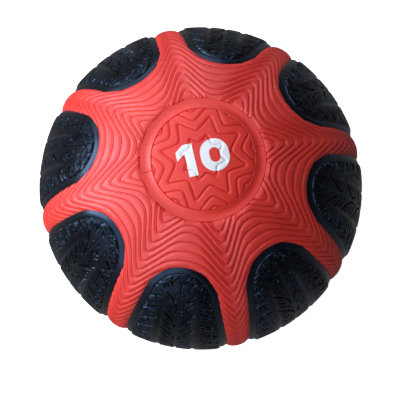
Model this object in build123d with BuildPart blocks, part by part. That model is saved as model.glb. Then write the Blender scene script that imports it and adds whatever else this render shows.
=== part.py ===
from build123d import *
from math import cos, radians, sin, sqrt
import os

# Medicine ball, ten pounds. A thick moulded rubber ball with an eight-armed red star at each
# pole and eight black tread pads between the arms. Millimetres, origin at the ball's centre,
# +Z through the pole that carries the weight mark. Pad centres lie at every 45 degrees from +X.

# Ball and wall
ball_r = 120.0  # crests of the arms and of the tread
cover_seat_r = 112.0  # where covers, pads, rings and discs meet the core
core_bore_r = 94.6  # inside of the core, outside of the bladder
bladder_wall = 1.5

# Tread pads
pad_count = 8
pad_pitch = 360 / pad_count
lobe_half_width = 38.0
lobe_half_height = 95.8
lobe_tip_r = 27.0  # radius of the outline's ends
gutter_width = 5.5
gutter_r = 117.6  # smooth border of the pad, below the crests
channel_depth = 1.0
channel_widths = {-6.2: 3.2, 0.0: 2.2, 6.2: 3.2}  # meridian channels: angle from the pad's middle

# Polar channel ring and disc
ring_outer_r = 42.2
ring_inner_r = 34.8
ring_floor_r = 118.1  # radius of the ball at the bottom of the ring's hollow
ring_outer_lip_r = 119.1
disc_r = 119.4  # radius of the disc's dome
disc_edge_drop = 0.7  # the dome's rim falls this far below the dome
disc_flat_angle = 14.5  # polar angle where the rim starts to fall

# Weight mark: a plain figure ten in one stroke width
mark_thickness = 0.25
mark_turn = 22.5  # its baseline runs along an arm of the star
figure_height = 22.0
figure_stroke = 6.0
nought_width = 19.0
flag_reach = 5.5  # how far the one's flag stands out from its stem
flag_drop = 4.0
figure_gap = 4.0

# Valve, at the pole opposite the mark
valve_stem_r = 7.0
valve_flange_r = 14.0
valve_flange = 2.0
insert_r = 4.5
insert_length = 19.0
needle_r = 1.2
needle_depth = 10.0


def on_meridian(radius, polar_angle):
    """A point of the XZ plane at a radius from the ball's centre and an angle from the pole."""
    return (radius * sin(radians(polar_angle)), radius * cos(radians(polar_angle)))


def on_sphere(radius, across):
    """A point of the XZ plane on a sphere, at a distance from the polar axis."""
    return (across, sqrt(radius**2 - across**2))


def lobe_outline(inset=0.0):
    """The pad's outline, upright in the open sketch: two long side arcs and two tip arcs."""
    tip_height = lobe_half_height - lobe_tip_r  # centres of the tip arcs
    rise = lobe_half_width - lobe_tip_r
    side_centre = (tip_height**2 - rise**2) / (2 * rise)  # distance past the middle line
    side_r = lobe_half_width + side_centre
    reach = (lobe_tip_r - inset) / (side_r - lobe_tip_r)
    join_x = side_centre * reach
    join_y = tip_height * (1 + reach)
    half_width = lobe_half_width - inset
    half_height = lobe_half_height - inset
    with BuildLine() as outline:
        ThreePointArc((join_x, -join_y), (half_width, 0), (join_x, join_y))
        ThreePointArc((join_x, join_y), (0, half_height), (-join_x, join_y))
        ThreePointArc((-join_x, join_y), (-half_width, 0), (-join_x, -join_y))
        ThreePointArc((-join_x, -join_y), (0, -half_height), (join_x, -join_y))
    make_face(outline.edges())


def lobe_plane(azimuth):
    """A plane through the ball's centre that faces outwards at an azimuth, its Y axis up."""
    facing = (cos(radians(azimuth)), sin(radians(azimuth)), 0)
    along = (-sin(radians(azimuth)), cos(radians(azimuth)), 0)
    return Plane(origin=(0, 0, 0), x_dir=along, z_dir=facing)


def meridian_plane(azimuth):
    """A plane through the polar axis, along an azimuth."""
    across = (-sin(radians(azimuth)), cos(radians(azimuth)), 0)
    return Plane(origin=(0, 0, 0), x_dir=(0, 0, 1), z_dir=across)


# Where the spheres' own seam lines lie: clear of the first pad, and along an arm of the covers
seam_behind_pad = (0, 0, 180)
seam_along_arm = (0, 0, pad_pitch / 2)

os.makedirs("parts", exist_ok=True)


def keep(piece, name):
    """Name a finished piece and write it."""
    piece.part.label = name
    export_step(piece.part, f"parts/{name}.step")


# --- Tread pads: a smooth border with a raised tread block, cut by three meridian channels ---
with BuildPart() as pad_pattern:
    with BuildSketch(lobe_plane(0)):
        lobe_outline()
    extrude(amount=ball_r)
    Sphere(gutter_r, rotation=seam_behind_pad, mode=Mode.INTERSECT)
    with BuildSketch(lobe_plane(0)):
        lobe_outline(gutter_width)
    extrude(amount=ball_r + 1)
    Sphere(ball_r, rotation=seam_behind_pad, mode=Mode.INTERSECT)
    Sphere(cover_seat_r, rotation=seam_behind_pad, mode=Mode.SUBTRACT)
    for channel_angle, channel_width in channel_widths.items():
        with BuildSketch(meridian_plane(channel_angle)):
            Circle(ball_r + 2)
            Circle(ball_r - channel_depth, mode=Mode.SUBTRACT)
        extrude(amount=channel_width / 2, both=True, mode=Mode.SUBTRACT)

for pad_number in range(pad_count):
    with BuildPart() as tread_pad:
        add(pad_pattern.part, rotation=(0, 0, pad_number * pad_pitch))
    keep(tread_pad, f"tread_pad_{pad_number + 1}")

# --- Star covers: the outer shell, less the pads' windows and the polar openings ---
with BuildPart() as star_shell:
    Sphere(ball_r, rotation=seam_along_arm)
    Sphere(cover_seat_r, rotation=seam_along_arm, mode=Mode.SUBTRACT)
    Cylinder(ring_outer_r, 2 * ball_r + 2, mode=Mode.SUBTRACT)
    for pad_number in range(pad_count):
        with BuildSketch(lobe_plane(pad_number * pad_pitch)):
            lobe_outline()
        extrude(amount=ball_r + 1, mode=Mode.SUBTRACT)

with BuildPart() as upper_star_cover:
    add(star_shell.part)
    split(bisect_by=Plane.XY, keep=Keep.TOP)
keep(upper_star_cover, "upper_star_cover")

with BuildPart() as lower_star_cover:
    add(star_shell.part)
    split(bisect_by=Plane.XY, keep=Keep.BOTTOM)
keep(lower_star_cover, "lower_star_cover")

# --- Channel rings: a hollow finger channel round each disc ---
with BuildPart() as upper_channel_ring:
    with BuildSketch(Plane.XZ):
        with BuildLine():
            inner_foot = on_sphere(cover_seat_r, ring_inner_r)
            outer_foot = on_sphere(cover_seat_r, ring_outer_r)
            inner_lip = on_sphere(disc_r - disc_edge_drop, ring_inner_r)
            outer_lip = on_sphere(ring_outer_lip_r, ring_outer_r)
            hollow = on_sphere(ring_floor_r, (ring_inner_r + ring_outer_r) / 2)
            Line(inner_foot, inner_lip)
            ThreePointArc(inner_lip, hollow, outer_lip)
            Line(outer_lip, outer_foot)
            RadiusArc(outer_foot, inner_foot, -cover_seat_r)
        make_face()
    revolve(axis=Axis.Z)
keep(upper_channel_ring, "upper_channel_ring")

with BuildPart() as lower_channel_ring:
    add(upper_channel_ring.part)
    mirror(about=Plane.XY, mode=Mode.REPLACE)
keep(lower_channel_ring, "lower_channel_ring")

# --- Centre discs: shallow domes inside the rings; the lower one has the valve's hole ---
with BuildPart() as upper_centre_disc:
    with BuildSketch(Plane.XZ):
        with BuildLine():
            disc_foot = on_sphere(cover_seat_r, ring_inner_r)
            disc_rim = on_sphere(disc_r - disc_edge_drop, ring_inner_r)
            dome_end = on_meridian(disc_r, disc_flat_angle)
            dome_middle = on_meridian(disc_r, disc_flat_angle / 2)
            dome_tangent = (cos(radians(disc_flat_angle)), -sin(radians(disc_flat_angle)))
            Line((0, cover_seat_r), (0, disc_r))
            ThreePointArc((0, disc_r), dome_middle, dome_end)
            TangentArc(dome_end, disc_rim, tangent=dome_tangent)
            Line(disc_rim, disc_foot)
            RadiusArc(disc_foot, (0, cover_seat_r), -cover_seat_r)
        make_face()
    revolve(axis=Axis.Z)
keep(upper_centre_disc, "upper_centre_disc")

with BuildPart() as lower_centre_disc:
    add(upper_centre_disc.part)
    mirror(about=Plane.XY, mode=Mode.REPLACE)
    with Locations((0, 0, -cover_seat_r)):
        Cylinder(insert_r, 2 * (ball_r - cover_seat_r), mode=Mode.SUBTRACT)
keep(lower_centre_disc, "lower_centre_disc")

# --- Weight mark: thin plain figures that follow the upper disc's dome ---
mark_plane = Plane.XY.rotated((0, 0, mark_turn)).offset(cover_seat_r)
mark_width = flag_reach + figure_stroke + figure_gap + nought_width
stem_left = flag_reach - mark_width / 2
figure_top = figure_height / 2
with BuildPart() as weight_mark:
    with BuildSketch(mark_plane):
        # One
        with Locations((stem_left + figure_stroke / 2, 0)):
            Rectangle(figure_stroke, figure_height)
        with BuildLine():
            Polyline(
                (stem_left, figure_top),
                (stem_left - flag_reach, figure_top - flag_drop),
                (stem_left - flag_reach, figure_top - flag_drop - figure_stroke),
                (stem_left, figure_top - figure_stroke),
                close=True,
            )
        make_face()
        # Nought
        with Locations((mark_width / 2 - nought_width / 2, 0)):
            SlotOverall(figure_height, nought_width, rotation=90)
            SlotOverall(
                figure_height - 2 * figure_stroke,
                nought_width - 2 * figure_stroke,
                rotation=90,
                mode=Mode.SUBTRACT,
            )
    extrude(amount=ball_r - cover_seat_r)
    Sphere(disc_r + mark_thickness, mode=Mode.INTERSECT)
    Sphere(disc_r, mode=Mode.SUBTRACT)
keep(weight_mark, "weight_mark")

# --- Core: two thick half shells with a passage for the valve through the lower one ---
with BuildPart() as core_shell_upper:
    Sphere(cover_seat_r)
    Sphere(core_bore_r, mode=Mode.SUBTRACT)
    split(bisect_by=Plane.XY, keep=Keep.TOP)
keep(core_shell_upper, "core_shell_upper")

with BuildPart() as core_shell_lower:
    Sphere(cover_seat_r)
    Sphere(core_bore_r, mode=Mode.SUBTRACT)
    split(bisect_by=Plane.XY, keep=Keep.BOTTOM)
    with Locations((0, 0, -cover_seat_r)):
        Cylinder(valve_stem_r, 2 * (cover_seat_r - core_bore_r) + 2, mode=Mode.SUBTRACT)
keep(core_shell_lower, "core_shell_lower")

# --- Bladder, with a hole for the valve's stem ---
with BuildPart() as bladder:
    Sphere(core_bore_r)
    Sphere(core_bore_r - bladder_wall, mode=Mode.SUBTRACT)
    with Locations((0, 0, -core_bore_r)):
        Cylinder(valve_stem_r, 10 * bladder_wall, mode=Mode.SUBTRACT)
keep(bladder, "bladder")

# --- Valve housing: a stem through the wall, with a flange bonded inside the bladder ---
with BuildPart() as valve_housing:
    with BuildSketch(Plane.XZ):
        with BuildLine():
            flange_r = core_bore_r - bladder_wall
            flange_tip = on_sphere(flange_r, valve_flange_r)
            flange_root = on_sphere(flange_r, valve_stem_r)
            stem_end = on_sphere(cover_seat_r, valve_stem_r)
            insert_end = on_sphere(cover_seat_r, insert_r)
            Polyline(
                (insert_r, flange_root[1] - 2 * valve_flange),
                (valve_stem_r, flange_root[1] - 2 * valve_flange),
                (valve_flange_r, flange_tip[1] - valve_flange),
                flange_tip,
            )
            RadiusArc(flange_tip, flange_root, -flange_r)
            Line(flange_root, stem_end)
            RadiusArc(stem_end, insert_end, -cover_seat_r)
            Line(insert_end, (insert_r, flange_root[1] - 2 * valve_flange))
        make_face()
    revolve(axis=Axis.Z)
    mirror(about=Plane.XY, mode=Mode.REPLACE)
keep(valve_housing, "valve_housing")

# --- Valve insert: the self-sealing plug, with the inflation needle's blind hole ---
with BuildPart() as valve_insert:
    with Locations((0, 0, -(disc_r - insert_length / 2))):
        Cylinder(insert_r, insert_length)
    Sphere(disc_r, mode=Mode.INTERSECT)
    with Locations((0, 0, -(disc_r - needle_depth / 2 + 0.5))):
        Cylinder(needle_r, needle_depth + 1, mode=Mode.SUBTRACT)
keep(valve_insert, "valve_insert")
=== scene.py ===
from math import cos, radians, sin

import bmesh
import bpy
import numpy as np
from mathutils import Matrix, Vector


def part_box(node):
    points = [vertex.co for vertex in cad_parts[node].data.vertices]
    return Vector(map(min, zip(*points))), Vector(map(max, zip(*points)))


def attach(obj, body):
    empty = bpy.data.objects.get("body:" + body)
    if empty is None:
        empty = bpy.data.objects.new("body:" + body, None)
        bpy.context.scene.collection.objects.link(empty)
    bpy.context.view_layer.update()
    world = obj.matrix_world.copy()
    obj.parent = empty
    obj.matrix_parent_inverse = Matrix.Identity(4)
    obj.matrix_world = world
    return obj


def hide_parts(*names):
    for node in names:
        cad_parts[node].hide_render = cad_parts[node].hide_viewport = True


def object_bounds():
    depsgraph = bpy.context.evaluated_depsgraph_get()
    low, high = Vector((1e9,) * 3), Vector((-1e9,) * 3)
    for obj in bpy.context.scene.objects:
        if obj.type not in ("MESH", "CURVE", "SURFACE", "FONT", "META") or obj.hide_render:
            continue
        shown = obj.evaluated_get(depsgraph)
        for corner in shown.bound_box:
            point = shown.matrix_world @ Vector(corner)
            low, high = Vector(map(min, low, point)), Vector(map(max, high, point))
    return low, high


# Looks for the medicine ball. Every outer skin is one height field over the sphere: its depth
# below the crests is worked out for a direction from the ball's centre. Each piece is a patch of
# directions, cut along its outline and along its grooves, so that mesh edges follow them.
# Lengths are in metres, unless a comment says millimetres. Tilt is an angle from a pole, and turn
# and azimuth are angles round the poles' axis, all in degrees.

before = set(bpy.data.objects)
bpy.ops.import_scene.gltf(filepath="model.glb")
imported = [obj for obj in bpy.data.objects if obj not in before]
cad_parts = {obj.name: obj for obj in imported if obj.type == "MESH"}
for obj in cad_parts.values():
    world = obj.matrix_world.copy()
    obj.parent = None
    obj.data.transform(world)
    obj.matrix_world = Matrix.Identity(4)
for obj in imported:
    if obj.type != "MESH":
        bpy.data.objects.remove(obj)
cad_low, cad_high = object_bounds()

MM = 0.001
PAD_COUNT = 8
PITCH = 360 / PAD_COUNT  # degrees of azimuth from one pad to the next


def corner_reach(node, pick):
    """The farthest or nearest corner of a CAD node, as a distance from the ball's centre."""
    return pick(corner.co.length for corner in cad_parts[node].data.vertices)


# Sizes that the CAD model fixes
ring_edge_depth = 0.9 * MM  # the ring's outer edge lies this far below the crests
ball_r = corner_reach("upper_star_cover", max)
seat_r = corner_reach("upper_star_cover", min)
disc_r = corner_reach("upper_centre_disc", max)
disc_tilt = np.degrees(np.arcsin(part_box("upper_centre_disc")[1].x / disc_r))
ring_edge_r = ball_r - ring_edge_depth
ring_tilt = np.degrees(np.arcsin(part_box("upper_channel_ring")[1].x / ring_edge_r))
pad_half_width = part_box("tread_pad_1")[1].y
pad_half_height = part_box("tread_pad_1")[1].z
plug_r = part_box("valve_insert")[1].x
mark_angle = 22.5  # azimuth of the weight mark's baseline

# The pads' outline: two long side arcs and two tip arcs, as seen facing the pad
tip_r = 27 * MM
tip_height = pad_half_height - tip_r
tip_rise = pad_half_width - tip_r
side_centre = (tip_height**2 - tip_rise**2) / (2 * tip_rise)
side_r = pad_half_width + side_centre

DEGREE = radians(1) * ball_r  # length of one degree on the crests


# --- Fields over the sphere ---

TINY = 1e-9  # keeps a division away from zero
STEEPEST_LEAN = 0.95  # far from an outline, distances along the surface stop growing here
LEAST_SLOPE = 1e-3  # where a field is flatter than this, its level lines count as far away
slope_span = 0.4 * MM  # a field's slope is measured this far to each side


def polar(directions):
    """Degrees from the nearer pole, and degrees of azimuth from the nearest pad's middle."""
    tilt = np.degrees(np.arccos(np.clip(np.abs(directions[:, 2]), 0, 1)))
    azimuth = np.degrees(np.arctan2(directions[:, 1], directions[:, 0]))
    return tilt, azimuth - PITCH * np.round(azimuth / PITCH)


def curve_through(knots, x):
    """A smooth curve through a few (x, y) points, flat beyond its ends."""
    knot_x, knot_y = np.array(knots, float).T
    slope = np.gradient(knot_y, knot_x)
    slope[0] = slope[-1] = 0
    x = np.clip(x, knot_x[0], knot_x[-1])
    right = np.clip(np.searchsorted(knot_x, x), 1, len(knot_x) - 1)
    left = right - 1
    width = knot_x[right] - knot_x[left]
    share = (x - knot_x[left]) / width
    rise = share**2 * (3 - 2 * share)
    start = share * (1 - share) ** 2 * width * slope[left]
    end = -(share**2) * (1 - share) * width * slope[right]
    return knot_y[left] * (1 - rise) + knot_y[right] * rise + start + end


def inside_pad(directions):
    """Distance along the surface inside the nearest pad's outline, negative on the arms."""
    tilt, turn = polar(directions)
    across = ball_r * np.sin(np.radians(tilt)) * np.sin(np.radians(np.abs(turn)))
    up = ball_r * np.cos(np.radians(tilt))
    in_tip = up * side_centre > tip_height * (across + side_centre)
    centre_x = np.where(in_tip, 0, -side_centre)
    centre_y = np.where(in_tip, tip_height, 0)
    radius = np.where(in_tip, tip_r, side_r)
    to_x, to_y = centre_x - across, centre_y - up
    gap = np.maximum(np.hypot(to_x, to_y), TINY)
    lean = (to_x * across + to_y * up) / (gap * ball_r)
    lean = np.clip(lean, -STEEPEST_LEAN, STEEPEST_LEAN)
    return (radius - gap) / np.sqrt(1 - lean**2)


# Star contours: level lines of a field whose whole numbers are the grooves. Along an arm they are
# chevrons, and between the arms they pass over the pad's tip.
contour_start = 24.5  # tilt of the first groove on an arm's middle line
contour_pitch = 3.87  # degrees between grooves along an arm
chevron_slope = 2.26
chevron_round = 1.45
tip_contour_start = 14.66  # tilt where the count over the pad's tip starts
tip_contour_pitch = 3.30
tip_contour_radius = 12.2
ring_crowding = 0.3  # the contours next to the ring lie closer together over the tips
crowding_tilt = 23.2
crowding_width = 0.35
contour_blend = 3.0  # how sharply the two families of contours meet
contour_count = 18


def star_contour(directions):
    """The contour field of the star: a soft minimum of the arms' and the tips' contours."""
    tilt, turn = polar(directions)
    off_arm = np.radians(PITCH / 2 - np.abs(turn))
    along = tilt * np.cos(off_arm)
    across = tilt * np.sin(off_arm)
    climb = chevron_slope * (np.hypot(across, chevron_round) - chevron_round)
    arm = (along + climb - contour_start) / contour_pitch
    sideways = turn * np.sin(np.radians(tilt))
    fall = sideways**2 / (2 * tip_contour_radius)
    tip = (tilt - fall - tip_contour_start) / tip_contour_pitch
    tip -= ring_crowding / (1 + np.exp((tilt - crowding_tilt) / crowding_width))
    low = np.minimum(arm, tip)
    return low - np.log1p(np.exp(-contour_blend * np.abs(arm - tip))) / contour_blend


# Disc stars: three nested stars, and the corners of a fourth
star_sizes = (3.1, 6.0, 8.65, 11.0)
star_flank = 25  # degrees between a star's flank and the line to its point
point_round = 0.35
notch_round = 1.1


def disc_contour(directions):
    """Size of the star through each direction, in degrees, at right angles to its flanks."""
    tilt, turn = polar(directions)
    across = tilt * np.sin(np.radians(turn))
    off_arm = tilt * np.sin(np.radians(PITCH / 2 - np.abs(turn)))
    size = tilt * np.sin(np.radians(star_flank + np.abs(turn)))
    size += cos(radians(star_flank)) * (np.hypot(across, point_round) - np.abs(across))
    notch = cos(radians(star_flank + PITCH / 2))
    return size - notch * (np.hypot(off_arm, notch_round) - np.abs(off_arm))


def across_line(contour, number):
    """A field that gives the distance from one level line of a contour field."""
    step = slope_span / ball_r

    def distance(directions):
        east = np.cross((0, 0, 1), directions) + (TINY, 0, 0)
        east /= np.linalg.norm(east, axis=1, keepdims=True)
        north = np.cross(directions, east)
        steepness = np.hypot(
            contour(unit(directions + step * east)) - contour(unit(directions - step * east)),
            contour(unit(directions + step * north)) - contour(unit(directions - step * north)),
        )
        slope = np.maximum(steepness / (2 * step * ball_r), LEAST_SLOPE)
        return (contour(directions) - number) / slope

    return distance


def meridian_line(azimuth):
    """A field that gives the distance from a meridian."""
    normal = np.array((-sin(radians(azimuth)), cos(radians(azimuth)), 0))
    return lambda directions: ball_r * directions @ normal


def tilt_of(directions):
    """Degrees from the nearer pole."""
    return polar(directions)[0]


# --- Tread: blocks that stand up from the pad's smooth border ---

border_width = 5.3 * MM
channel_turn = 6.2  # degrees of azimuth from the middle channel to each side channel
channel_fade = 1.6  # the channels narrow by this many degrees towards their ends
side_full_tilt, side_fade_length = 45, 12  # a side channel is at full width from this tilt on
middle_full_tilt, middle_fade_length = 42, 2
middle_share = 0.6  # width of the middle channel as a share of a side channel's
slot_half = 0.75 * MM  # half widths of wide grooves, fine cuts and hatching
sipe_half = 0.5 * MM
hatch_half = 0.3 * MM
block_edge = 0.2 * MM  # a block's top ends this far inside its outline
block_foot = -0.4 * MM  # and its wall meets the floor this far outside
sipe_floor = -0.3 * MM  # a fine cut's bottom is as deep as a wall is at this distance
rib_pitch = 9.7  # degrees of tilt from one curved groove of the middle ribs to the next
rib_start = 47.6
rib_count = 5
shoulder_pitch = 6.15  # the same for the shoulders, outside the side channels
shoulder_start = 43.5
shoulder_count = 8
hatch_start, hatch_end = 53.0, 92  # fine cuts along the outer edge of the shoulders
hatch_pitch = 1.55
swoop_length = 8.0
swoop_bend = 2.16
swoop_end = 0.8  # a curved groove stops this far from the pad's middle line
swoop_points = 8


def swoop(start):
    """A long curved groove from the side channel to the middle one, as (turn, tilt) points."""
    reach = channel_turn - swoop_end
    shares = np.linspace(0, 1, swoop_points)
    return [(swoop_end + reach * (1 - s) ** swoop_bend, start + swoop_length * s) for s in shares]


def tread_grooves():
    """Grooves of one quarter of a pad, each a half width and its (turn, tilt) points."""
    grooves = [
        (slot_half, [(2.7, 40.0), (1.5, 41.6), (0.75, 43.6)]),
        (sipe_half, [(3.8, 40.1), (2.9, 42.1)]),
        (sipe_half, [(4.7, 40.6), (3.9, 42.2)]),
        (sipe_half, [(5.6, 41.5), (4.6, 42.8)]),
        (slot_half, [(6.2, 42.9), (4.9, 43.6), (3.9, 44.9)]),
        (sipe_half, [(7.3, 43.5), (6.4, 45.2)]),
        (sipe_half, [(8.4, 44.4), (7.7, 46.4)]),
    ]
    for start in rib_start + rib_pitch * np.arange(rib_count):
        grooves.append((slot_half, swoop(start)))
        grooves.append((sipe_half, [(5.6, start + 2.4), (3.5, start + 4.1)]))
        grooves.append((sipe_half, [(5.5, start + 4.7), (2.9, start + 6.9)]))
        grooves.append((sipe_half, [(5.5, start + 7.0), (2.6, start + 9.3)]))
        grooves.append((sipe_half, [(2.4, start + 0.6), (0.9, start + 0.1)]))
    for start in shoulder_start + shoulder_pitch * np.arange(shoulder_count):
        grooves.append((slot_half, [(8.6, start), (11.4, start + 1.3), (15.5, start + 3.6)]))
        grooves.append((sipe_half, [(9.2, start + 2.2), (12.4, start + 3.0)]))
        grooves.append((sipe_half, [(9.0, start + 4.2), (12.0, start + 5.2)]))
    for start in np.arange(hatch_start, hatch_end, hatch_pitch):
        grooves.append((hatch_half, [(12.4, start), (14.6, start - 1.3)]))
    return grooves


def narrowing(tilt, full_tilt, fade_length):
    """How far a channel has narrowed, in degrees, at a tilt on its way to full width."""
    return channel_fade * np.clip(1 - (tilt - full_tilt) / fade_length, 0, 1)


def off_channel(directions):
    """Distance from the middle of the nearest of a pad's three channels."""
    tilt, turn = polar(directions)
    side = np.abs(np.abs(turn) - channel_turn)
    side += narrowing(tilt, side_full_tilt, side_fade_length)
    middle = np.abs(turn) / middle_share
    middle += narrowing(tilt, middle_full_tilt, middle_fade_length)
    return np.minimum(side, middle) * np.sin(np.radians(tilt)) * DEGREE


def run_distance(x, y, start, end):
    """Distance from points to a straight run."""
    run = np.subtract(end, start)
    share = ((x - start[0]) * run[0] + (y - start[1]) * run[1]) / (run @ run)
    share = np.clip(share, 0, 1)
    return np.hypot(x - start[0] - share * run[0], y - start[1] - share * run[1])


def flat_pad(turn, tilt):
    """Lengths across and along a pad."""
    return turn * np.sin(np.radians(tilt)) * DEGREE, tilt * DEGREE


def tread_top(directions):
    """Distance inside the top of the nearest tread block; negative in grooves and border."""
    tilt, turn = polar(directions)
    x, y = flat_pad(np.abs(turn), tilt)
    top = inside_pad(directions) - border_width
    for half_width, points in tread_grooves():
        # Wide grooves reach the floor of the tread, and fine cuts stop above it
        floor = 2 * block_foot if half_width > sipe_half else sipe_floor
        for start, end in zip(points[:-1], points[1:]):
            reach = run_distance(x, y, flat_pad(*start), flat_pad(*end)) - half_width
            top = np.minimum(top, np.maximum(reach, floor))
    return top


# --- Depths below the crests ---

# Sections of the grooves, across and deep in millimetres; across grows away from the pole
groove_shape = (
    (-1.0, 0), (-0.85, 0.12), (-0.45, 1.15), (-0.2, 1.15), (0.2, 0.58), (0.75, 0.5), (1.45, 0),
)
disc_groove_shape = (
    (-0.6, 0), (-0.45, 0.12), (-0.1, 1.0), (0.1, 1.0), (0.45, 0.42), (0.85, 0.35), (1.6, 0),
)
seam_shape = ((-0.45, 0), (-0.2, 0.3), (0, 0.6), (0.2, 0.3), (0.45, 0))
nick_shape = ((-0.4, 0), (0, 0.45), (0.4, 0))
nick_azimuth = 22.5  # the ring's parting line
# The disc's dome, the ring's hollow and the star's lip: depth in millimetres by tilt
polar_shape = (
    (0, 0.6), (13, 0.6), (15, 0.75), (16, 0.95), (17.05, 1.35), (18, 1.9), (18.8, 2.05),
    (20.0, 1.5), (20.6, 1.05), (21.1, 0.5), (21.8, 0.2), (22.8, 0.05), (24, 0),
)
gutter_deepening = ((37, 1.35), (50, 2.0), (65, 2.8))  # the gutter's depth by tilt
arm_rounding = 3.0  # millimetres over which an arm rounds off into the deepest gutter
# Across a pad, by millimetres inside its outline
border_shape = ((0, 1.0), (0.8, 0.7), (1.7, 0.3), (3.0, 0.07), (5.3, 0))  # share of the gutter
border_lowering = ((37, 0.85), (55, 1.35))  # depth of the pad's border by tilt
border_groove = ((3.9, 0), (4.7, 0.3), (5.3, 0.3), (5.6, 0))  # groove at the foot of the tread
crown_shape = ((5.3, 0.35), (7.0, 0.1), (10.0, 0))  # rounding of the tread's outer blocks
channel_shape = ((0, 0.7), (0.9, 0.65), (1.6, 0.3), (2.2, 0))  # soft valleys in the tops


def groove_depth(shape, distance):
    """Depth of a groove's section at a distance across it."""
    across, deep = np.array(shape).T
    return np.interp(distance / MM, across, deep) * MM


def groove_lines(shape):
    """Distances from a groove's bottom line where its section turns."""
    return [across * MM for across, deep in shape]


def polar_depth(directions):
    """The disc's rim, the ring's hollow and the star's rounded lip, with the two seams."""
    tilt = tilt_of(directions)
    depth = curve_through(polar_shape, tilt) * MM
    for seam in (disc_tilt, ring_tilt):
        depth += groove_depth(seam_shape, (tilt - seam) * DEGREE)
    return depth


def ring_depth(directions):
    """The ring's hollow with a fine nick across it on both sides."""
    nick = groove_depth(nick_shape, meridian_line(nick_azimuth)(directions))
    return polar_depth(directions) + nick


def gutter_depth(directions):
    """Depth of the gutter where the star meets a pad."""
    return curve_through(gutter_deepening, tilt_of(directions))


def cover_depth(directions):
    """The star cover: its lip, gutters, grooves and the seam at the equator."""
    outside = np.maximum(-inside_pad(directions), 0) / MM
    gutter = gutter_depth(directions) * MM
    rounding = arm_rounding * gutter_depth(directions) / gutter_deepening[-1][1]
    depth = polar_depth(directions) + gutter * np.exp(-outside / rounding)
    number = np.clip(np.round(star_contour(directions)), 0, contour_count)
    groove = groove_depth(groove_shape, across_line(star_contour, number)(directions))
    equator = groove_depth(seam_shape, ball_r * directions[:, 2])
    return depth + np.maximum(groove, equator)


def pad_depth(directions):
    """A tread pad: its gutter, border, channels and blocks."""
    inside = inside_pad(directions) / MM
    wall = (block_edge - tread_top(directions)) / (block_edge - block_foot)
    wall = np.clip(wall, 0, 1)
    border = curve_through(border_lowering, tilt_of(directions))
    fall = gutter_depth(directions) - border
    floor = border + fall * curve_through(border_shape, inside)
    floor += curve_through(border_groove, inside)
    crown = curve_through(crown_shape, inside)
    channel = curve_through(channel_shape, off_channel(directions) / MM)
    crown = np.maximum(crown, channel)
    return (np.maximum(floor, crown) * wall + crown * (1 - wall)) * MM


def disc_depth(directions):
    """The disc: its rim and the grooves of its stars."""
    sizes = np.array(star_sizes)
    size = disc_contour(directions)
    nearest = sizes[np.abs(size[:, None] - sizes).argmin(axis=1)]
    groove = groove_depth(disc_groove_shape, across_line(disc_contour, nearest)(directions))
    return polar_depth(directions) + groove


# --- Weight mark: a plain figure ten, as distances inside its outlines ---

# Lengths in millimetres
figure_height = 22.0
figure_stroke = 6.0
nought_width = 19.0
flag_reach = 5.5
flag_drop = 4.0
figure_gap = 4.0
mark_width = flag_reach + figure_stroke + figure_gap + nought_width
stem_left = flag_reach - mark_width / 2
stem_x = stem_left + figure_stroke / 2
nought_x = (mark_width - nought_width) / 2


def block(x, y, centre, size, corner=0.0):
    """Distance inside a rectangle with round corners."""
    out_x = np.abs(x - centre[0] * MM) - size[0] * MM / 2 + corner * MM
    out_y = np.abs(y - centre[1] * MM) - size[1] * MM / 2 + corner * MM
    outside = np.hypot(np.maximum(out_x, 0), np.maximum(out_y, 0))
    return corner * MM - outside - np.minimum(np.maximum(out_x, out_y), 0)


def mark_inside(directions):
    """Distance inside the mark's figures."""
    turn = radians(mark_angle)
    x = disc_r * (directions[:, 0] * cos(turn) + directions[:, 1] * sin(turn))
    y = disc_r * (directions[:, 1] * cos(turn) - directions[:, 0] * sin(turn))
    stem = block(x, y, (stem_x, 0), (figure_stroke, figure_height))
    left, right = (stem_left - flag_reach) * MM, stem_x * MM
    flag_slope = flag_drop / flag_reach
    flag_top = figure_height / 2 * MM + flag_slope * (x - stem_left * MM)
    flag = np.minimum(flag_top - y, y - flag_top + figure_stroke * MM) / np.hypot(1, flag_slope)
    flag = np.minimum(flag, np.minimum(x - left, right - x))
    flag = np.minimum(flag, figure_height / 2 * MM - y)
    hole_width, hole_height = nought_width - 2 * figure_stroke, figure_height - 2 * figure_stroke
    rim = block(x, y, (nought_x, 0), (nought_width, figure_height), nought_width / 2)
    hole = block(x, y, (nought_x, 0), (hole_width, hole_height), hole_width / 2)
    nought = np.minimum(rim, -hole)
    return np.max([stem, flag, nought], axis=0)


print_thickness = 0.15 * MM
print_bed = 0.05 * MM  # the mark's underside lies this far inside the disc


def mark_depth(directions):
    """Top of the print."""
    return disc_depth(directions) - print_thickness


def mark_bed(directions):
    """Underside of the print."""
    return disc_depth(directions) + print_bed


def seat_depth(directions):
    """Inner face of every skin, on the core."""
    return np.full(len(directions), ball_r - seat_r)


# --- Patches of directions ---

SNAP = 0.2  # a grid point this near to a line, as a share of an edge, moves onto it


def unit(points):
    """Points moved onto the unit sphere, as directions."""
    return points / np.linalg.norm(points, axis=1, keepdims=True)


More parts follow.
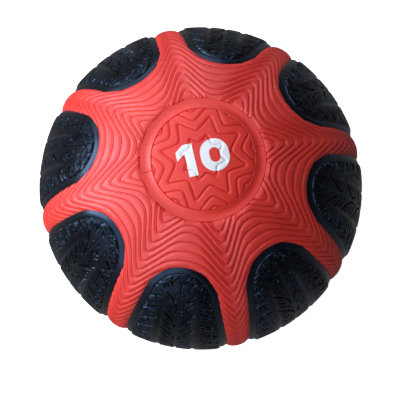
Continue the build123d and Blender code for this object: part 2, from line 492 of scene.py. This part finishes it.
def lattice(first, second, to_direction, closed=False):
    """A triangulated grid over two coordinates. A closed one joins its last column to its first."""
    columns, rows = len(first), len(second)
    grid_a, grid_b = np.meshgrid(first, second)
    points = unit(np.stack(to_direction(grid_a.ravel(), grid_b.ravel()), axis=1))
    index = np.arange(rows * columns).reshape(rows, columns)
    if closed:
        index = np.hstack([index, index[:, :1]])
    low_left, low_right = index[:-1, :-1].ravel(), index[:-1, 1:].ravel()
    high_left, high_right = index[1:, :-1].ravel(), index[1:, 1:].ravel()
    # Diagonals lean both ways in turn, so that the grid has no grain
    row, column = np.indices(index[1:, 1:].shape)
    leaning = ((row + column) % 2 == 0).ravel()[:, None]
    first_half = np.where(leaning, np.stack([low_left, low_right, high_right], 1),
                          np.stack([low_left, low_right, high_left], 1))
    second_half = np.where(leaning, np.stack([low_left, high_right, high_left], 1),
                           np.stack([low_right, high_right, high_left], 1))
    triangles = np.vstack([first_half, second_half])
    corners = points[triangles]
    facing = np.cross(corners[:, 1] - corners[:, 0], corners[:, 2] - corners[:, 0])
    inward = (facing * corners[:, 0]).sum(axis=1) < 0
    triangles[inward] = triangles[inward][:, ::-1]
    return {"points": points, "triangles": triangles, "free": np.ones(len(points), bool)}


def crossings(triangles, value):
    """Edges, once each, whose ends lie on two sides of the zero line."""
    edges = np.vstack([triangles[:, [0, 1]], triangles[:, [1, 2]], triangles[:, [2, 0]]])
    edges = edges[value[edges[:, 0]] * value[edges[:, 1]] < 0]
    edges = np.unique(np.sort(edges, axis=1), axis=0)
    share = value[edges[:, 0]] / (value[edges[:, 0]] - value[edges[:, 1]])
    return edges, share[:, None]


def cut(patch, field, levels):
    """Splits the triangles that level lines cross, so that edges run along the lines."""
    points, triangles, free = patch["points"].copy(), patch["triangles"], patch["free"].copy()
    value = field(points)
    for level in levels:
        height = value - level
        edges, share = crossings(triangles, height)
        place = unit(points[edges[:, 0]] * (1 - share) + points[edges[:, 1]] * share)
        # Points that lie close to the line move onto it, unless an earlier line holds them
        for end, near in ((0, share[:, 0] < SNAP), (1, share[:, 0] > 1 - SNAP)):
            near = near & free[edges[:, end]]
            moved = edges[near, end]
            points[moved] = place[near]
            height[moved] = 0
            free[moved] = False
        settled = np.unique(edges[height[edges] == 0])
        value[settled] = field(points[settled])
        edges, share = crossings(triangles, height)
        fresh = unit(points[edges[:, 0]] * (1 - share) + points[edges[:, 1]] * share)
        key = edges[:, 0] * len(points) + edges[:, 1]
        triangles = split(triangles, np.sign(height).astype(int), key, len(points))
        points = np.vstack([points, fresh])
        free = np.append(free, np.zeros(len(fresh), bool))
        value = np.append(value, field(fresh))
    return {"points": points, "triangles": triangles, "free": free}


def split(triangles, side, key, count):
    """Replaces crossed triangles by the two or three triangles that the new points make.

    side is each point's side of the line, key names the crossed edges, and count is how many
    points there were before the new ones.
    """
    sides = side[triangles]
    mixed = (sides.min(axis=1) < 0) & (sides.max(axis=1) > 0)
    whole, crossed, sides = triangles[~mixed], triangles[mixed], sides[mixed]
    touches = (sides == 0).any(axis=1)
    odd = -np.sign(sides.sum(axis=1))
    lead = np.where(touches, (sides == 0).argmax(axis=1), (sides == odd[:, None]).argmax(axis=1))
    crossed = np.take_along_axis(crossed, (lead[:, None] + np.arange(3)) % 3, axis=1)

    def between(one, other):
        wanted = np.minimum(one, other) * count + np.maximum(one, other)
        return count + np.searchsorted(key, wanted)

    a, b, c = crossed[touches].T
    middle = between(b, c)
    halves = [np.stack([a, b, middle], 1), np.stack([a, middle, c], 1)]
    a, b, c = crossed[~touches].T
    near, far = between(a, b), between(a, c)
    thirds = [np.stack(t, 1) for t in ((a, near, far), (near, b, c), (near, c, far))]
    return np.vstack([whole, *halves, *thirds])


def trim(patch, field):
    """Keeps the part of a patch where the field is above zero."""
    patch = cut(patch, field, [0])
    middles = unit(patch["points"][patch["triangles"]].mean(axis=1))
    kept = patch["triangles"][field(middles) > 0]
    used, kept = np.unique(kept, return_inverse=True)
    free = patch["free"][used]
    return {"points": patch["points"][used], "triangles": kept.reshape(-1, 3), "free": free}


def below(field):
    """The same field with its sign changed."""
    return lambda directions: -field(directions)


def rim_edges(triangles):
    """Directed edges that only one triangle has."""
    edges = np.vstack([triangles[:, [0, 1]], triangles[:, [1, 2]], triangles[:, [2, 0]]])
    count = edges.max() + 1
    forward = edges[:, 0] * count + edges[:, 1]
    backward = edges[:, 1] * count + edges[:, 0]
    return edges[~np.isin(forward, backward)]


def turned(points, azimuth):
    """Points turned round the poles' axis."""
    turn = radians(azimuth)
    rotation = np.array(((cos(turn), sin(turn), 0), (-sin(turn), cos(turn), 0), (0, 0, 1)))
    return points @ rotation


def shell(patch, outer, inner):
    """A closed skin: points and triangles of the outer face, the inner face and the walls."""
    points, triangles = patch["points"], patch["triangles"]
    count = len(points)
    rim = rim_edges(triangles)
    start, end = rim.T
    walls = np.vstack([np.stack([end, start, start + count], 1),
                       np.stack([end, start + count, end + count], 1)])
    faces = np.vstack([triangles, triangles[:, ::-1] + count, walls])
    outside = points * (ball_r - outer(points))[:, None]
    inside = points * (ball_r - inner(points))[:, None]
    return np.vstack([outside, inside]), faces


def flipped(skin):
    """The same skin at the other pole."""
    points, faces = skin
    return points * (1, 1, -1), faces[:, ::-1]


# --- Pieces ---

CREASE = radians(40)  # sharper edges than this aren't smoothed over


def piece(name, skin, material, slot, *nodes):
    """A smooth-shaded mesh object that stands for CAD nodes."""
    points, faces = skin
    mesh = bpy.data.meshes.new(name)
    mesh.vertices.add(len(points))
    mesh.vertices.foreach_set("co", points.ravel())
    mesh.loops.add(faces.size)
    mesh.loops.foreach_set("vertex_index", faces.ravel().astype(np.int32))
    mesh.polygons.add(len(faces))
    mesh.polygons.foreach_set("loop_start", np.arange(0, faces.size, 3, dtype=np.int32))
    mesh.update(calc_edges=True)
    mesh.validate()
    mesh.polygons.foreach_set("use_smooth", np.ones(len(mesh.polygons), bool))
    mesh.set_sharp_from_angle(angle=CREASE)
    mesh.materials.append(material)
    made = bpy.data.objects.new(name, mesh)
    bpy.context.scene.collection.objects.link(made)
    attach(made, "root")
    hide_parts(*nodes)
    return made


def from_polar(azimuth, tilt):
    """Directions from azimuth and tilt."""
    azimuth, tilt = np.radians(azimuth), np.radians(tilt)
    return np.sin(tilt) * np.cos(azimuth), np.sin(tilt) * np.sin(azimuth), np.cos(tilt)


def from_chart(x, y):
    """Directions round the upper pole from a flat chart of it in degrees."""
    tilt = np.radians(np.hypot(x, y))
    shrink = np.sinc(tilt / np.pi)
    return np.radians(x) * shrink, np.radians(y) * shrink, np.cos(tilt)


def from_pad(across, up):
    """Directions round the first pad's middle from angles across it and up it."""
    across, up = np.radians(across), np.radians(up)
    return np.cos(across) * np.cos(up), np.sin(across), np.cos(across) * np.sin(up)


def spaced(start, end, step):
    """Even positions from start to end, about a step apart."""
    return np.linspace(start, end, round(abs(end - start) / step) + 1)


# Lattice steps in degrees
cover_step = 0.9
pad_step = 0.55
disc_step = 0.42
ring_turn_step, ring_tilt_step = 0.75, 0.22
# Mesh lines that carry the bends of a section
border_lines = (0.8, 2.0, 3.6, 4.3, 4.7)  # millimetres inside a pad's outline
rim_lines = (0.22, 1.0)  # degrees inside the disc's edge


def cover_skin():
    """The upper star cover, from the ring to the equator, without the pads' windows."""
    azimuths = np.arange(0, 360, cover_step)
    patch = lattice(azimuths, spaced(ring_tilt, 90, cover_step), from_polar, closed=True)
    patch = trim(patch, below(inside_pad))
    for number in range(contour_count):
        patch = cut(patch, across_line(star_contour, number), groove_lines(groove_shape))
    return shell(patch, cover_depth, seat_depth)


def pad_skin():
    """The first tread pad."""
    wide = np.degrees(np.arcsin(pad_half_width / ball_r)) + pad_step
    high = np.degrees(np.arcsin(pad_half_height / ball_r)) + pad_step
    patch = lattice(spaced(-wide, wide, pad_step), spaced(-high, high, pad_step), from_pad)
    patch = trim(patch, inside_pad)
    patch = cut(patch, inside_pad, [width * MM for width in border_lines])
    patch = cut(patch, off_channel, groove_lines(channel_shape)[1:])
    patch = cut(patch, tread_top, [block_edge, sipe_floor, block_foot])
    return shell(patch, pad_depth, seat_depth)


def ring_skin():
    """The upper channel ring."""
    azimuths = np.arange(0, 360, ring_turn_step)
    tilts = spaced(disc_tilt, ring_tilt, ring_tilt_step)
    patch = lattice(azimuths, tilts, from_polar, closed=True)
    patch = cut(patch, meridian_line(nick_azimuth), groove_lines(nick_shape))
    return shell(patch, ring_depth, seat_depth)


def disc_patch():
    """Directions of the upper disc, with mesh lines along its stars."""
    chart = spaced(-disc_tilt - disc_step, disc_tilt + disc_step, disc_step)
    patch = lattice(chart, chart, from_chart)
    patch = trim(patch, lambda directions: disc_tilt - tilt_of(directions))
    patch = cut(patch, tilt_of, [disc_tilt - width for width in rim_lines])
    for size in star_sizes:
        patch = cut(patch, across_line(disc_contour, size), groove_lines(disc_groove_shape))
    return patch


def off_axis(directions):
    """Distance outside the hole for the valve's plug."""
    return disc_r * np.hypot(directions[:, 0], directions[:, 1]) - plug_r


# --- Materials ---

blotch_size = 22 * MM  # features of the colour's noise and of the gloss's noise
patch_size = 6 * MM
blotch_range = (0.35, 0.65)  # the parts of a noise's range that carry the change
patch_range = (0.3, 0.7)
gloss_change = 0.06  # roughness rises and falls by this much
coarse_grain = 5  # the coarse relief's features, as a multiple of the fine grain
coarse_relief = 2
red_light, red_dark = (0.80, 0.038, 0.024), (0.72, 0.030, 0.019)
black_light, black_dark = (0.006, 0.006, 0.0075), (0.003, 0.003, 0.004)
window_tint = (0.75, 0.88, 1.0)
sky_tint = (0.28, 0.54, 1.0)
core_light, core_dark = (0.035, 0.035, 0.037), (0.02, 0.02, 0.022)
butyl_light, butyl_dark = (0.03, 0.03, 0.033), (0.016, 0.016, 0.018)
plug_light, plug_dark = (0.05, 0.05, 0.052), (0.03, 0.03, 0.032)
ink_white, ink_worn = (0.84, 0.86, 0.92), (0.62, 0.42, 0.42)
wear_size, wear_range, most_wear = 1.2 * MM, (0.62, 0.78), 0.5
ink_patch_size, ink_gloss = 4 * MM, (0.42, 0.6)
ink_grain, ink_relief = 0.8 * MM, 0.06 * MM
paper_tone_size = 0.3
paper_grey, paper_white = (0.93, 0.93, 0.93), (0.95, 0.95, 0.95)
crest_depth, recess_depth = 0.35 * MM, 0.8 * MM  # where the tread is dull and where it is glossy
crest_shine, recess_shine = 0.24, 0.65


def new_material(name):
    """A material with its nodes, its links and its shader."""
    material = bpy.data.materials.new(name)
    material.use_nodes = True
    nodes = material.node_tree.nodes
    return material, nodes, material.node_tree.links, nodes["Principled BSDF"]


def noise(nodes, links, size, detail=3.0, roughness=0.55):
    """Noise in the object's own space, with features of a real size in metres."""
    place = nodes.get("Texture Coordinate") or nodes.new("ShaderNodeTexCoord")
    texture = nodes.new("ShaderNodeTexNoise")
    texture.inputs["Scale"].default_value = 1 / size
    texture.inputs["Detail"].default_value = detail
    texture.inputs["Roughness"].default_value = roughness
    links.new(place.outputs["Object"], texture.inputs["Vector"])
    return texture.outputs["Fac"]


def spread(nodes, links, source, low, high, out_low, out_high):
    """Maps one range of a value to another."""
    node = nodes.new("ShaderNodeMapRange")
    node.inputs["From Min"].default_value = low
    node.inputs["From Max"].default_value = high
    node.inputs["To Min"].default_value = out_low
    node.inputs["To Max"].default_value = out_high
    links.new(source, node.inputs["Value"])
    return node.outputs["Result"]


def blend_colours(nodes, links, factor, first, second):
    """Blends two colours, each a value or another node's output."""
    node = nodes.new("ShaderNodeMix")
    node.data_type = "RGBA"
    links.new(factor, node.inputs["Factor"])
    colour_inputs = [socket for socket in node.inputs if socket.type == "RGBA"]
    for socket, colour in zip(colour_inputs, (first, second)):
        if isinstance(colour, tuple):
            socket.default_value = (*colour, 1)
        else:
            links.new(colour, socket)
    return next(socket for socket in node.outputs if socket.type == "RGBA")


def bump(nodes, links, layers, bsdf):
    """Adds layers of fine relief, each a height and its depth in metres."""
    normal = None
    for height, depth in layers:
        node = nodes.new("ShaderNodeBump")
        node.inputs["Distance"].default_value = depth
        links.new(height, node.inputs["Height"])
        if normal is not None:
            links.new(normal, node.inputs["Normal"])
        normal = node.outputs["Normal"]
    links.new(normal, bsdf.inputs["Normal"])


def rubber(name, light, dark, rough, grain, relief, specular=0.45, tint=(1, 1, 1)):
    """Moulded rubber: blotched colour, uneven gloss and a fine grain."""
    material, nodes, links, bsdf = new_material(name)
    blotches = spread(nodes, links, noise(nodes, links, blotch_size, 4), *blotch_range, 0, 1)
    links.new(blend_colours(nodes, links, blotches, dark, light), bsdf.inputs["Base Color"])
    patches = noise(nodes, links, patch_size, 4)
    roughness = (rough - gloss_change, rough + gloss_change)
    gloss = spread(nodes, links, patches, *patch_range, *roughness)
    links.new(gloss, bsdf.inputs["Roughness"])
    fine = noise(nodes, links, grain, 2)
    coarse = noise(nodes, links, coarse_grain * grain, 3)
    bump(nodes, links, [(coarse, coarse_relief * relief), (fine, relief)], bsdf)
    bsdf.inputs["Specular IOR Level"].default_value = specular
    bsdf.inputs["Specular Tint"].default_value = (*tint, 1)
    return material


def tread_rubber():
    """Black rubber, duller on the crests of the tread than in its channels and border."""
    material = rubber("black_tread", black_light, black_dark,
                      rough=0.24, grain=0.5 * MM, relief=0.02 * MM, tint=sky_tint)
    # A direction's radius says how deep it lies, since the ball's centre is the mesh's origin
    nodes, links = material.node_tree.nodes, material.node_tree.links
    bsdf = nodes["Principled BSDF"]
    radius = nodes.new("ShaderNodeVectorMath")
    radius.operation = "LENGTH"
    links.new(nodes["Texture Coordinate"].outputs["Object"], radius.inputs[0])
    shine = spread(nodes, links, radius.outputs["Value"], ball_r - recess_depth,
                   ball_r - crest_depth, recess_shine, crest_shine)
    links.new(shine, bsdf.inputs["Specular IOR Level"])
    return material


def printed_ink():
    """White ink, a little thin in places, so that red shows through."""
    material, nodes, links, bsdf = new_material("white_print")
    wear = noise(nodes, links, wear_size, detail=5, roughness=0.7)
    thin = spread(nodes, links, wear, *wear_range, 0, most_wear)
    worn = blend_colours(nodes, links, thin, ink_white, ink_worn)
    links.new(worn, bsdf.inputs["Base Color"])
    gloss = spread(nodes, links, noise(nodes, links, ink_patch_size), *patch_range, *ink_gloss)
    links.new(gloss, bsdf.inputs["Roughness"])
    bump(nodes, links, [(noise(nodes, links, ink_grain), ink_relief)], bsdf)
    return material


def paper(name, glow):
    """White paper that glows like a light table, so that shadows on it stay faint."""
    material, nodes, links, bsdf = new_material(name)
    tone = spread(nodes, links, noise(nodes, links, paper_tone_size), *patch_range, 0, 1)
    white = blend_colours(nodes, links, tone, paper_grey, paper_white)
    links.new(white, bsdf.inputs["Base Color"])
    bsdf.inputs["Roughness"].default_value = 0.9
    bsdf.inputs["Emission Color"].default_value = (1, 1, 1, 1)
    bsdf.inputs["Emission Strength"].default_value = glow
    return material


red_star = rubber("red_cover", red_light, red_dark, rough=0.47, grain=0.7 * MM,
                  relief=0.05 * MM, specular=0.85, tint=window_tint)
red_ring = rubber("red_ring", red_light, red_dark, rough=0.43, grain=0.7 * MM,
                  relief=0.02 * MM, specular=0.7, tint=window_tint)
red_disc = rubber("red_disc", red_light, red_dark, rough=0.47, grain=0.7 * MM,
                  relief=0.05 * MM, specular=0.6, tint=window_tint)
black = tread_rubber()
core = rubber("core_rubber", core_light, core_dark,
              rough=0.7, grain=1.0 * MM, relief=0.06 * MM)
butyl = rubber("bladder_rubber", butyl_light, butyl_dark,
               rough=0.38, grain=1.5 * MM, relief=0.02 * MM)
plug = rubber("valve_rubber", plug_light, plug_dark,
              rough=0.5, grain=0.5 * MM, relief=0.02 * MM)
ink = printed_ink()


def dress_node(node, material):
    """Gives a CAD node that stays its better material."""
    node_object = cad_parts[node]
    for material_slot in node_object.material_slots:
        material_slot.material = material


kept_nodes = {
    "core_shell_upper": core, "core_shell_lower": core, "bladder": butyl,
    "valve_housing": plug, "valve_insert": plug,
}
for node, material in kept_nodes.items():
    dress_node(node, material)

cover = cover_skin()
piece("star_cover_upper", cover, red_star, "red_cover", "upper_star_cover")
piece("star_cover_lower", flipped(cover), red_star, "red_cover", "lower_star_cover")

pad_points, pad_faces = pad_skin()
for number in range(PAD_COUNT):
    points = turned(pad_points, number * PITCH)
    label = f"tread_pad_{number + 1}"
    piece(f"{label}_tread", (points, pad_faces), black, "black_tread", label)

ring = ring_skin()
piece("channel_ring_upper", ring, red_ring, "red_ring", "upper_channel_ring")
piece("channel_ring_lower", flipped(ring), red_ring, "red_ring", "lower_channel_ring")

disc = disc_patch()
whole = shell(disc, disc_depth, seat_depth)
piece("centre_disc_upper", whole, red_disc, "red_disc", "upper_centre_disc")
mark = shell(trim(disc, mark_inside), mark_depth, mark_bed)
piece("weight_mark_print", mark, ink, "white_print", "weight_mark")
holed = shell(trim(disc, off_axis), disc_depth, seat_depth)
piece("centre_disc_lower", flipped(holed), red_disc, "red_disc", "lower_centre_disc")


# --- Floor, light and camera ---

floor_size = 6.0
floor_glow = 0.75  # emission strength
floor_mesh = bpy.data.meshes.new("studio_floor")
half = floor_size / 2
corners = [(-half, -half, 0), (half, -half, 0), (half, half, 0), (-half, half, 0)]
floor_mesh.from_pydata(corners, [], [(0, 1, 2, 3)])
floor_mesh.materials.append(paper("studio_floor", floor_glow))
floor = bpy.data.objects.new("studio_floor", floor_mesh)
floor.location = (0, 0, cad_low.z)
bpy.context.scene.collection.objects.link(floor)
floor.visible_diffuse = False
floor.visible_glossy = False

# A white dome behind the floor, which only the camera sees
backdrop_r = 5.0
backdrop_glow = 1.0
backdrop_columns, backdrop_rows = 48, 24
backdrop_mesh = bpy.data.meshes.new("backdrop")
dome = bmesh.new()
bmesh.ops.create_uvsphere(
    dome, u_segments=backdrop_columns, v_segments=backdrop_rows, radius=backdrop_r
)
dome.to_mesh(backdrop_mesh)
dome.free()
backdrop_mesh.materials.append(paper("backdrop_paper", backdrop_glow))
backdrop = bpy.data.objects.new("backdrop", backdrop_mesh)
bpy.context.scene.collection.objects.link(backdrop)
backdrop.visible_diffuse = False
backdrop.visible_glossy = False
backdrop.visible_transmission = False
backdrop.visible_shadow = False

world = bpy.data.worlds.new("studio")
world.use_nodes = True
bpy.context.scene.world = world
bpy.context.scene.view_settings.view_transform = "Standard"


def compass(azimuth, elevation):
    """A direction from an azimuth, counted from +X towards +Y, and an elevation."""
    azimuth, elevation = radians(azimuth), radians(elevation)
    return Vector((cos(azimuth) * cos(elevation), sin(azimuth) * cos(elevation), sin(elevation)))


def soft_light(name, azimuth, elevation, distance, size, watts, colour):
    """A round area light that faces the ball."""
    data = bpy.data.lights.new(name, "AREA")
    data.shape = "DISK"
    data.size = size
    data.energy = watts
    data.color = colour
    made = bpy.data.objects.new(name, data)
    away = compass(azimuth, elevation)
    made.location = away * distance
    made.rotation_euler = away.to_track_quat("Z", "Y").to_euler()
    bpy.context.scene.collection.objects.link(made)


horizon = (-0.1, 0.04)  # between these heights of a direction, ground gives way to room


def soft_surround(bright_side, dim, bright, edge, ground):
    """A room with a bright half and a dim half, over a pale ground."""
    nodes, links = world.node_tree.nodes, world.node_tree.links
    place = nodes.new("ShaderNodeTexCoord")
    along = nodes.new("ShaderNodeVectorMath")
    along.operation = "DOT_PRODUCT"
    along.inputs[1].default_value = bright_side
    links.new(place.outputs["Generated"], along.inputs[0])
    share = spread(nodes, links, along.outputs["Value"], *edge, 0, 1)
    room = blend_colours(nodes, links, share, dim, bright)
    parts = nodes.new("ShaderNodeSeparateXYZ")
    links.new(place.outputs["Generated"], parts.inputs["Vector"])
    above = spread(nodes, links, parts.outputs["Z"], *horizon, 0, 1)
    links.new(blend_colours(nodes, links, above, ground, room), nodes["Background"].inputs["Color"])


soft_surround(
    bright_side=compass(180, 0), dim=(0.07, 0.066, 0.062), bright=(1.46, 1.54, 1.65),
    edge=(-0.12, 0.12), ground=(0.15, 0.15, 0.155),
)
soft_light(
    "key", azimuth=182, elevation=22, distance=1.3, size=0.9, watts=11, colour=(0.92, 0.97, 1.0)
)

view_azimuth = 4.35  # degrees from -Y towards +X
view_elevation = 80.0
view_roll = -4.9
film_width = 36  # millimetres
nearest_view = 0.01
view_distance = 8 * ball_r
frame_pixels = 400
ball_pixels = 161.4  # the ball's outline radius in the frame
ball_right, ball_up = 0.7, 11.6  # its centre from the frame's middle, in pixels

camera_data = bpy.data.cameras.new("camera")
camera_data.sensor_width = film_width
pixels_long = ball_pixels * (view_distance**2 / ball_r**2 - 1) ** 0.5
camera_data.lens = film_width * pixels_long / frame_pixels
camera_data.shift_x = -ball_right / frame_pixels
camera_data.shift_y = -ball_up / frame_pixels
camera_data.clip_start = nearest_view
camera = bpy.data.objects.new("camera", camera_data)
back = compass(view_azimuth - 90, view_elevation)
level_right = compass(view_azimuth, 0)
level_up = back.cross(level_right)
right = level_right * cos(radians(view_roll)) - level_up * sin(radians(view_roll))
up = level_up * cos(radians(view_roll)) + level_right * sin(radians(view_roll))
facing = Matrix((right, up, back)).transposed().to_4x4()
camera.matrix_world = Matrix.Translation(back * view_distance) @ facing
bpy.context.scene.collection.objects.link(camera)
bpy.context.scene.camera = camera
